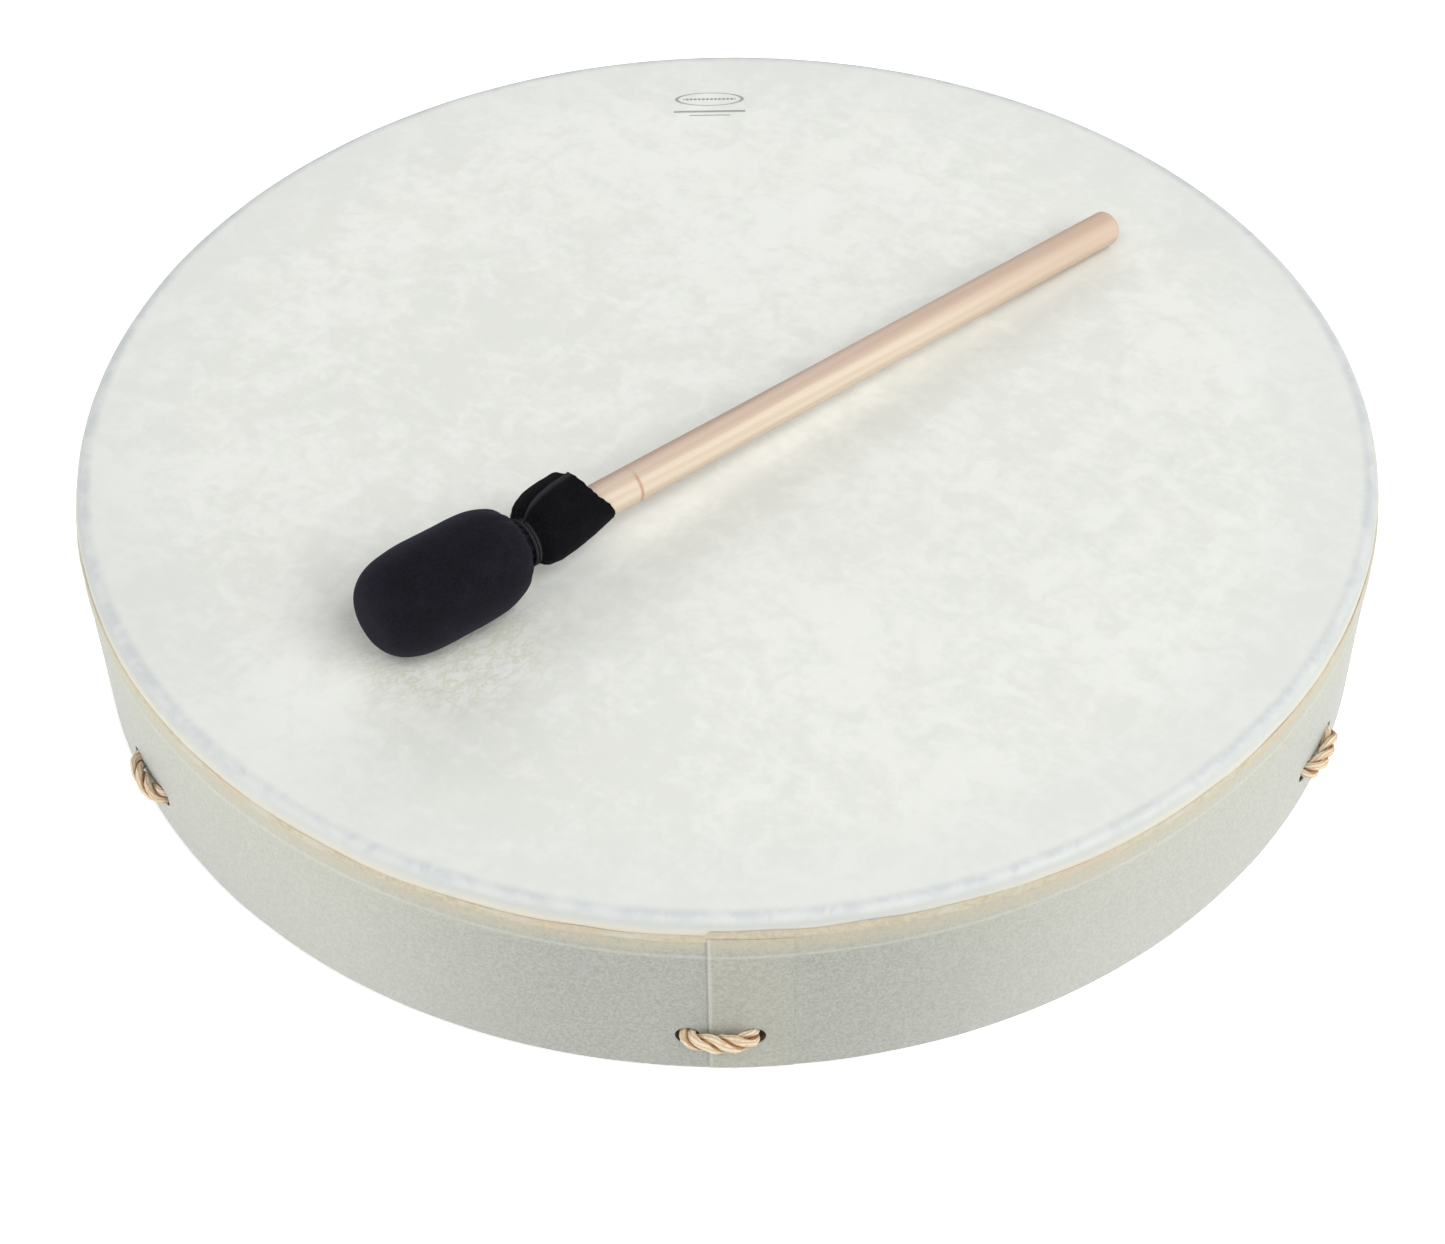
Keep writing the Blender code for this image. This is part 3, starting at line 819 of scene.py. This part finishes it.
def bead_heights(angles):
    """The lower and upper edge of the bond line at each angle. It sits higher just after the seam."""
    past_seam = (angles - LAP_ANGLES[0]) % FULL_TURN * DRUM_RADIUS
    lift = BEAD_STEP_UP * (1 - smooth_step(60 * MM, 160 * MM, past_seam))
    edge = np.stack([np.cos(angles), np.sin(angles), np.zeros(len(angles))], axis=-1) * DRUM_RADIUS
    low = WRAP_TOP - 0.2 * MM + 0.8 * lift + roughen(edge, 14 * MM, 0.5 * MM, 3)
    high = BEAD_TOP + lift - 0.9 * MM + roughen(edge, 22 * MM, 0.7 * MM, 4)
    return low, high


def bond_bead(look):
    """The wavy line of adhesive between the folded head and the side film."""
    angles = even_angles(WRAP_COLUMNS)
    low, high = bead_heights(angles)
    inner = COLLAR_RADIUS + 0.1 * MM
    outer = DRUM_RADIUS + 0.03 * MM
    shape = [
        (inner, -0.2),
        (outer - 0.3 * MM, -0.1),
        (outer, 0.12),
        (outer - 0.12 * MM, 0.45),
        (outer - 0.35 * MM, 0.8),
        (inner, 1.05),
    ]
    rows = []
    for radius, share in shape:
        height = low + (high - low) * share
        rows.append(np.stack([radius * np.cos(angles), radius * np.sin(angles), height], axis=-1))
    grid = np.stack(rows)
    push_out(grid[1:5], roughen(grid[1:5], 7 * MM, 0.12 * MM, 5))
    piece = add_piece("bond_line", grid, look, "drum", loop_rows=True)
    stand_for("head_bond_bead")


def wrap_angles():
    """Angles round the drum, with pairs that make the lap's two edges crisp."""
    edge = 0.12 * MM / DRUM_RADIUS
    angles = even_angles(WRAP_COLUMNS) - pi
    clear = np.all([np.abs(angles - end) > 3 * edge for end in LAP_ANGLES], axis=0)
    pairs = [end + side for end in LAP_ANGLES for side in (-6 * edge, -edge, edge, 6 * edge)]
    return np.sort(np.concatenate([angles[clear], pairs]))


def wrap_relief(angles, heights):
    """How far the side film stands out: the lap, the groove beside it, and the collar's end under it."""
    lapped = (angles > LAP_ANGLES[0]) & (angles < LAP_ANGLES[1])
    from_seam = (angles - LAP_ANGLES[0]) * DRUM_RADIUS
    groove = np.exp(-((from_seam / SEAM_GROOVE_WIDTH) ** 2)) * (angles < LAP_ANGLES[0])
    lap = np.where(lapped, 0.6 * LAP_THICKNESS, 0.0) - SEAM_GROOVE_DEPTH * groove
    ridge = RIDGE_HEIGHT * np.exp(-(((heights - COLLAR_END) / RIDGE_WIDTH) ** 2))
    below = -SUNK_BELOW_RIDGE * (1 - smooth_step(COLLAR_END - 3 * MM, COLLAR_END, heights))
    lower_edge = smooth_step(WRAP_BOTTOM, WRAP_BOTTOM + 1.2 * MM, heights) - 1
    return lap[None, :] + (ridge + below + 0.25 * MM * lower_edge)[:, None]


def side_wrap(look, holes):
    """The side film, with one end lapped over the other and the head's collar showing through as a ridge."""
    angles = wrap_angles()
    rows = int((WRAP_TOP - WRAP_BOTTOM) / WRAP_ROW_STEP)
    heights = np.linspace(WRAP_BOTTOM, WRAP_TOP, rows + 1)
    outside = turned([(DRUM_RADIUS, height) for height in heights], angles)
    low, _ = bead_heights(angles)
    top_share = smooth_step(COLLAR_END, WRAP_TOP, heights)[:, None]
    outside[..., 2] += top_share * (low + 0.3 * MM - WRAP_TOP)[None, :]
    push_out(outside, wrap_relief(angles, heights) + uneven(outside, 6, (26, 0.18), (6, 0.05)))
    inner = DRUM_RADIUS - WRAP_THICKNESS - 0.2 * MM
    inside = turned([(inner, height) for height in heights[::-1]], angles)
    inside[..., 2] = outside[::-1, :, 2]
    grid = np.concatenate([outside, inside])
    piece = add_piece("side_film", grid, look, "drum", loop_rows=True)
    drill(piece, holes)
    stand_for("side_wrap")


def hoop(look, holes):
    """The bent hoop that carries the head and the ropes."""
    top_edge = HEAD_FOLD_RADIUS - FILM_THICKNESS - FIT_GAP
    inner = HOOP_RADIUS - HOOP_THICKNESS
    inner_heights = np.linspace(HOOP_TOP - 0.5 * MM, RIM_CHAMFER, 24)[:-1]
    profile = [
        *arc((inner + RIM_CHAMFER, RIM_CHAMFER), RIM_CHAMFER, 180, 270, 4),
        *arc((HOOP_RADIUS - RIM_CHAMFER, RIM_CHAMFER), RIM_CHAMFER, -90, 0, 4),
        (HOOP_RADIUS, HOOP_TOP / 2),
        *arc((HOOP_RADIUS - top_edge, HOOP_TOP - top_edge), top_edge, 0, 90, 8),
        *[(inner, height) for height in inner_heights],
    ]
    grid = turned(profile, even_angles(HOOP_COLUMNS))
    push_out(grid, uneven(grid, 8, (40, 0.12), (5, 0.05)))
    piece = add_piece("hoop", grid, look, "drum", loop_rows=True)
    drill(piece, holes)
    stand_for("shell_hoop")


def rope_stitches():
    """The angle of each place where a rope passes along the rim's outside."""
    ends = [azimuth + half_turn for azimuth in ROPE_AZIMUTHS for half_turn in (0, 180)]
    return [radians(azimuth) for azimuth in ends]


def hole_cutter():
    """Twelve round bars through the rim, where the rope holes are."""
    bm = bmesh.new()
    radius = ROPE_RADIUS + HOLE_CLEARANCE
    for stitch in rope_stitches():
        for angle in (stitch - HOLE_HALF_ANGLE, stitch + HOLE_HALF_ANGLE):
            place = Matrix.Translation(polar(DRUM_RADIUS - HOOP_THICKNESS / 2, angle, HOLE_HEIGHT))
            turn = Matrix.Rotation(angle, 4, "Z") @ Matrix.Rotation(pi / 2, 4, "Y")
            size = {"radius1": radius, "radius2": radius, "depth": 4 * HOOP_THICKNESS}
            bmesh.ops.create_cone(bm, cap_ends=True, segments=HOLE_SEGMENTS, matrix=place @ turn, **size)
    mesh = bpy.data.meshes.new("rope_holes")
    bm.to_mesh(mesh)
    bm.free()
    cutter = new_object("rope_holes", mesh)
    cutter.hide_render = True
    return cutter


def drill(piece, cutter):
    """Cuts the rope holes through the piece."""
    holes = piece.modifiers.new("rope_holes", "BOOLEAN")
    holes.operation = "DIFFERENCE"
    holes.solver = "EXACT"
    holes.object = cutter
    apply_modifiers(piece)


# ---- rope handle


def stitch_points(stitch):
    """The rope's way out of one hole of a stitch, pulled tight along the wall, and in by the other."""
    inside = HOOP_RADIUS - HOOP_THICKNESS - 4 * MM
    way_out = [(HOLE_SPACING / 2, inside - DRUM_RADIUS)]
    way_out += [(across * MM, out * MM) for across, out in STITCH_SHAPE]
    way_back = [(-across, out) for across, out in reversed(way_out[:-1])]
    turn = Matrix.Rotation(stitch, 4, "Z")
    return [
        turn @ polar(DRUM_RADIUS + out, across / DRUM_RADIUS, HOLE_HEIGHT)
        for across, out in way_out + way_back
    ]


def rope_route(index):
    """The points of one rope: across the drum, out and in by a stitch, back across, and round again."""
    azimuth = radians(ROPE_AZIMUTHS[index])
    height = HOLE_HEIGHT + (index - 1) * CROSSING_STEP
    turn = Matrix.Rotation(azimuth, 4, "Z")

    def strand(reach, side):
        return turn @ Vector((reach, side * STRAND_SPACING / 2, height))

    return [
        strand(LASHING_PLACE + FIT_GAP, 1),
        strand(STRAIGHT_REACH, 1),
        *stitch_points(azimuth),
        strand(STRAIGHT_REACH, -1),
        strand(-STRAIGHT_REACH, -1),
        *stitch_points(azimuth + pi),
        strand(-STRAIGHT_REACH, 1),
        strand(LASHING_PLACE - FIT_GAP, 1),
    ]


def pull_tight(grids, path):
    """Squeezes the rope in its holes, and flattens it against the wall between them."""
    beyond_wall = np.linalg.norm(path[:, :2], axis=1) - DRUM_RADIUS
    squeeze = 1 - 0.07 * smooth_step(-24 * MM, -8 * MM, beyond_wall)
    flat = smooth_step(0.5 * MM, 3.4 * MM, beyond_wall)
    thick = squeeze * (1 - 0.12 * flat)
    high = squeeze * (1 + 0.18 * flat)
    outward = np.concatenate([path[:, :2], np.zeros((len(path), 1))], axis=1)
    outward /= np.linalg.norm(outward, axis=1)[:, None]
    ends = [0, *range(len(path)), len(path) - 1]
    axis, outward, squeeze, thick, high = (part[ends] for part in (path, outward, squeeze, thick, high))
    for grid in grids:
        offset = grid - axis[:, None, :]
        out = np.sum(offset * outward[:, None, :], axis=-1)
        moved = offset * squeeze[:, None, None]
        moved += ((thick - squeeze)[:, None] * out)[..., None] * outward[:, None, :]
        moved[..., 2] = offset[..., 2] * high[:, None]
        grid[...] = axis[:, None, :] + moved


def handle_rope(index, look):
    """One rope, with its strands a little uneven."""
    path = smooth_path(rope_route(index), ROPE_STEP)
    grids, heights = twisted_cord(path, ROPE_RADIUS, ROPE_LAY, STRAND_SIDES, ROPE_STEP)
    pull_tight(grids, path)
    for strand, grid in enumerate(grids):
        shifts = [roughen(grid, 4 * MM, 0.7 * MM, 20 + strand + 10 * axis) for axis in range(3)]
        grid += np.stack(shifts, axis=-1)
    node = f"handle_rope_{index + 1}"
    piece = add_piece("laid_" + node, grids, look, "drum", None, ROPE_STEP, heights)
    stand_for(node)


def lashing_path():
    """Close turns of twine round a rope's two strands, in the lashing's own frame."""
    radius = ROPE_RADIUS + 0.1 * MM + LASHING_THICKNESS / 2
    flat = STRAND_SPACING
    half_round = pi * radius
    perimeter = 2 * (flat + half_round)
    travel = LASHING_LENGTH - LASHING_THICKNESS
    turns = travel / (LASHING_THICKNESS + 0.06 * MM)
    points = []
    steps = int(turns * perimeter / TWINE_STEP)
    for i in range(steps + 1):
        at = (i / steps * turns) % 1 * perimeter
        side = 1 if at < flat + half_round else -1
        at = at if side > 0 else at - flat - half_round
        if at < flat:
            across, up = flat / 2 - at, radius
        else:
            turn = (at - flat) / radius
            across, up = -flat / 2 - radius * sin(turn), radius * cos(turn)
        points.append((travel * (i / steps - 0.5), side * across, side * up))
    return np.array(points)


def rope_lashing(index, end, look):
    """Twine that ties a rope's two strands together near the drum's middle."""
    azimuth = radians(ROPE_AZIMUTHS[index] + 180 * end)
    height = HOLE_HEIGHT + (index - 1) * CROSSING_STEP
    turn = Matrix.Rotation(azimuth, 4, "Z")
    place = Matrix.Translation(polar(LASHING_PLACE, azimuth, height)) @ turn
    path = smooth_path(lashing_path(), TWINE_STEP)
    grids, heights = twisted_cord(path, LASHING_THICKNESS / 2, TWINE_LAY, TWINE_SIDES, TWINE_STEP)
    node = f"rope_lashing_{2 * index + end + 1}"
    piece = add_piece("twine_" + node, grids, look, "drum", place, TWINE_STEP, heights)
    stand_for(node)


# ---- mallet


def mallet_place():
    """The mallet's own frame: +Z runs from its head to the stick's butt, -X is up and +Y to the back left."""
    head_height = HEAD_TOP + MALLET_REST_GAP + MALLET_HEAD_RADIUS
    butt_height = HEAD_TOP + MALLET_REST_GAP + STICK_RADIUS
    fall = asin((head_height - butt_height) / MALLET_REACH)
    turn = Matrix.Rotation(radians(MALLET_AZIMUTH), 4, "Z")
    tilt = Matrix.Rotation(pi / 2 + fall, 4, "Y")
    return Matrix.Translation((*MALLET_HEAD_PLACE, head_height)) @ turn @ tilt


def round_the_stick(radii, turns, places):
    """Points at those radii, places along the stick, and turns counted from up towards the back left."""
    return np.stack([-radii * np.cos(turns), radii * np.sin(turns), places], axis=-1)


def head_outline(shrink, steps, squareness):
    """(radius, place) points of the mallet head's outline, far end first."""
    radius = MALLET_HEAD_RADIUS - shrink
    points = [(0.0, shrink - FAR_HALF)]
    for i in range(1, steps + 1):
        angle = (HEAD_OUTLINE_END + pi / 2) * i / steps - pi / 2
        out = radius * cos(angle) ** (2 / squareness)
        half = (FAR_HALF if angle < 0 else SHOULDER_HALF) - shrink
        up = half * copysign(abs(sin(angle)) ** (2 / squareness), angle)
        points.append((out, up))
    return points


def bag_outline():
    """The cloth's outline from the head's far end to the neck."""
    outline = head_outline(0.3 * MM, 44, HEAD_SQUARENESS + 0.7)
    last_radius, last_place = outline[-1]
    neck_start = CLOTH_NECK_PLACE - 2.2 * MM
    for i in range(1, 9):
        share = i / 8
        radius = NECK_RADIUS + (last_radius - NECK_RADIUS) * (1 - share) ** 2.4
        outline.append((radius, last_place + (neck_start - last_place) * share))
    outline += [(NECK_RADIUS, CLOTH_NECK_PLACE + shift * MM) for shift in (-1.5, 0.0, 1.5)]
    return outline


def pleats(turns, strength):
    """Small folds where the cloth is gathered."""
    waver = 0.6 * np.sin(3 * turns + 0.7) + 0.4 * np.sin(5 * turns + 2.1)
    return strength * np.sin(15 * turns + 1.5 * waver)


def cover_bag():
    """The stretched cloth over the head, a little off its axis, with small folds near the neck."""
    outline = np.array(bag_outline())
    turns = even_angles(BAG_COLUMNS)
    radii = np.broadcast_to(outline[:, :1], (len(outline), len(turns))).copy()
    places = np.broadcast_to(outline[:, 1:], radii.shape).copy()
    gathered = smooth_step(20 * MM, CLOTH_NECK_PLACE - 3 * MM, outline[:, 1])[:, None]
    radii = radii + gathered * pleats(turns, 0.45 * MM)[None, :] * np.minimum(radii / (8 * MM), 1)
    grid = round_the_stick(radii, turns, places)
    off_tip = smooth_step(0, 8 * MM, outline[:, 0])[:, None]
    push_out(grid, uneven(grid, 11, (24, 0.5), (9, 0.18)) * off_tip)
    before_neck = smooth_step(CLOTH_NECK_PLACE + 1 * MM, CLOTH_NECK_PLACE - 5 * MM, places)
    sideways = (0.7 * MM + 0.5 * MM * smooth_step(0, 34 * MM, places)) * before_neck
    grid[..., 0] -= sideways * cos(BAG_LEAN)
    grid[..., 1] += sideways * sin(BAG_LEAN)
    return grid


def skirt_radius(turns, places):
    """How far the skirt stands from the stick's axis.

    It puffs out above the binding, keeps a corner on the back left and closes on the stick elsewhere.
    """
    columns = [np.interp(places / MM, SKIRT_PLACES, radii) for radii in SKIRT_RADII]
    quarter = (turns - radians(SKIRT_FIRST_TURN)) / (FULL_TURN / 4) % 4
    before = np.floor(quarter).astype(int) % 4
    share = smooth_step(0, 1, quarter % 1)
    near = np.choose(before, columns)
    far = np.choose((before + 1) % 4, columns)
    gathered = 1 - smooth_step(CLOTH_NECK_PLACE, CLOTH_NECK_PLACE + 9 * MM, places)
    return (near + (far - near) * share) * MM + pleats(turns, 0.35 * MM) * gathered


def cover_skirt():
    """The cloth's free end: a strip wound a little over once round the stick, its outer edge lying on top."""
    rows, columns = 40, 170
    share = np.linspace(0, 1, rows)[:, None]
    wound = np.linspace(0, 1, columns)[None, :]
    free_edge = np.radians(10 + 12 * share)
    turns = free_edge - wound * SKIRT_TURNS * FULL_TURN
    slant = SKIRT_SLANT[0] * np.cos(turns - radians(SKIRT_SLANT[1]))
    bulge = SKIRT_BULGE[0] * np.maximum(np.cos(turns - radians(SKIRT_BULGE[1])), 0)
    start = CLOTH_NECK_PLACE - 1.8 * MM
    end = SKIRT_END + slant + bulge
    places = start + (end - start) * share
    on_top = 0.8 * MM * (1 - smooth_step(0.0, 0.25, wound))
    beneath = -0.9 * MM * smooth_step(0.72, 0.86, wound)
    layer = (on_top + beneath) * smooth_step(0.03, 0.25, share)
    lip = 0.35 * MM * np.exp(-((wound / 0.015) ** 2))
    grid = round_the_stick(skirt_radius(turns, places) + layer + lip, turns, places)
    push_out(grid, uneven(grid, 13, (11, 0.4), (4, 0.1)) * smooth_step(0.1, 0.4, share))
    grid[-1:, :, 2] += roughen(grid[-1:], 1.5 * MM, 0.5 * MM, 15)
    return grid


def mallet_cover(place):
    """The cloth bag over the head and its free end, each with the cloth's thickness inwards."""
    stretched = cloth_look("head_cloth", 0.065, (0.004, 0.0038, 0.0058), (0.0105, 0.0098, 0.0145))
    # The skirt's cloth is the bag's cloth made darker: painted shade.
    shaded_hanging = cloth_look("shaded_skirt_cloth", 0.005, (0.0018, 0.0017, 0.0024), (0.0055, 0.005, 0.0072), 0.5)
    bag = add_piece("mallet_cloth", cover_bag(), stretched, "mallet", place, BAG_ROW_LENGTH)
    skirt = cover_skirt()
    tail = add_piece("mallet_skirt", skirt, shaded_hanging, "mallet", place, SKIRT_ROW_LENGTH, loop_columns=False)
    for piece, thickness in ((bag, COVER_THICKNESS), (tail, SKIRT_THICKNESS)):
        wall = piece.modifiers.new("thickness", "SOLIDIFY")
        wall.thickness = thickness
        wall.offset = -1.0
        apply_modifiers(piece)
        stand_for("mallet_cover")


def mallet_core(look, place):
    """The felt under the cloth, with a blind bore for the stick."""
    bore = STICK_RADIUS + FIT_GAP
    outline = head_outline(COVER_THICKNESS + 2 * FIT_GAP, 30, HEAD_SQUARENESS)
    bottom = STICK_START - FIT_GAP
    profile = [*outline, (bore, outline[-1][1]), (bore, bottom), (0.0, bottom)]
    grid = turned(profile, even_angles(CORE_COLUMNS))
    piece = add_piece("mallet_felt", grid, look, "mallet", place)
    stand_for("mallet_core")


def stick_profile():
    """(radius, place) points of the stick, with a shallow turned groove and a rounded butt."""
    groove = []
    for i in range(-6, 7):
        depth = GROOVE_DEPTH * (0.5 + 0.5 * cos(pi * i / 6))
        groove.append((STICK_RADIUS - depth, GROOVE_PLACE + GROOVE_WIDTH * i / 12))
    butt = (STICK_RADIUS - BUTT_ROUND, MALLET_REACH - BUTT_ROUND)
    lower_run = GROOVE_PLACE - GROOVE_WIDTH - STICK_START
    lower = [STICK_START + lower_run * i / 12 for i in range(13)]
    upper_run = butt[1] - GROOVE_PLACE - 3 * MM
    upper = [GROOVE_PLACE + GROOVE_WIDTH + upper_run * i / 30 for i in range(31)]
    return [
        (0.0, STICK_START),
        *[(STICK_RADIUS, place) for place in lower],
        *groove,
        *[(STICK_RADIUS, place) for place in upper],
        *arc(butt, BUTT_ROUND, 0, 90, 10),
        (0.0, MALLET_REACH),
    ]


def mallet_stick(look, place):
    """The dowel, a little uneven along its length."""
    grid = turned(stick_profile(), even_angles(STICK_COLUMNS))
    push_out(grid, roughen(grid * [1, 1, 0.2], 12 * MM, 0.12 * MM, 16))
    piece = add_piece("stick", grid, look, "mallet", place)
    stand_for("mallet_stick")


def mallet_binding(look, place):
    """Two turns of cord round the neck."""
    radius = NECK_RADIUS + BINDING_DIAMETER / 2 - 0.1 * MM
    steps = 40
    points = []
    for i in range(BINDING_TURNS * steps + 1):
        turn = i / steps
        angle = FULL_TURN * turn + radians(200)
        along = CLOTH_NECK_PLACE + (turn - BINDING_TURNS / 2) * BINDING_PITCH
        points.append((-radius * cos(angle), radius * sin(angle), along))
    path = smooth_path(points, BINDING_STEP)
    grids, heights = twisted_cord(path, BINDING_DIAMETER / 2, BINDING_LAY, BINDING_SIDES, BINDING_STEP)
    piece = add_piece("binding_cord", grids, look, "mallet", place, BINDING_STEP, heights)
    stand_for("mallet_binding")


# ---- scene


def build_drum():
    holes = hole_cutter()
    drumhead(head_film_look())
    bond_bead(bond_look())
    side_wrap(side_film_look(), holes)
    hoop(hoop_look(), holes)
    bpy.data.objects.remove(holes)
    rope = cord_look("rope")
    twine = cord_look("twine")
    for index in range(len(ROPE_AZIMUTHS)):
        handle_rope(index, rope)
        for end in (0, 1):
            rope_lashing(index, end, twine)


def build_mallet():
    place = mallet_place()
    mallet_stick(stick_look(), place)
    mallet_core(core_look(), place)
    mallet_cover(place)
    mallet_binding(cord_look("binding_cord"), place)


def add_floor():
    mesh = bpy.data.meshes.new("floor")
    sides = ((-1, -1), (1, -1), (1, 1), (-1, 1))
    corners = [(x * FLOOR_HALF, y * FLOOR_HALF, FLOOR_HEIGHT) for x, y in sides]
    mesh.from_pydata(corners, [], [(0, 1, 2, 3)])
    mesh.materials.append(floor_look())
    floor = new_object("floor", mesh)


def add_softbox(name, azimuth, elevation, distance, size, power, colour):
    """A soft light aimed at the middle of the drum's head from that direction, in degrees, and distance."""
    lamp = bpy.data.lights.new(name, "AREA")
    lamp.shape = "RECTANGLE"
    lamp.size, lamp.size_y = size
    lamp.energy = power
    lamp.color = colour
    light = new_object(name, lamp)
    turn = Matrix.Rotation(radians(azimuth + 90), 4, "Z")
    tilt = Matrix.Rotation(radians(90 - elevation), 4, "X")
    back = Matrix.Translation((0, 0, distance))
    light.matrix_world = Matrix.Translation((0, 0, HEAD_TOP)) @ turn @ tilt @ back


def add_lights():
    world = bpy.data.worlds.new("studio")
    world.use_nodes = True
    sky = world.node_tree.nodes["Background"]
    sky.inputs["Color"].default_value = (*BLUE_WHITE, 1.0)
    sky.inputs["Strength"].default_value = SKY_STRENGTH
    bpy.context.scene.world = world
    for softbox in SOFTBOXES:
        add_softbox(*softbox)


def add_camera():
    lens = bpy.data.cameras.new("camera")
    lens.lens = CAMERA_LENS
    lens.sensor_width = CAMERA_SENSOR
    lens.clip_start = 0.01
    lens.clip_end = 100.0
    camera = new_object("camera", lens)
    tilt = Matrix.Rotation(radians(90 - CAMERA_TILT), 4, "X")
    roll = Matrix.Rotation(radians(CAMERA_ROLL), 4, "Z")
    camera.matrix_world = Matrix.Translation(CAMERA_PLACE) @ tilt @ roll
    bpy.context.scene.camera = camera


bpy.context.scene.view_settings.view_transform = "Standard"
add_camera()
add_floor()
add_lights()
build_drum()
build_mallet()
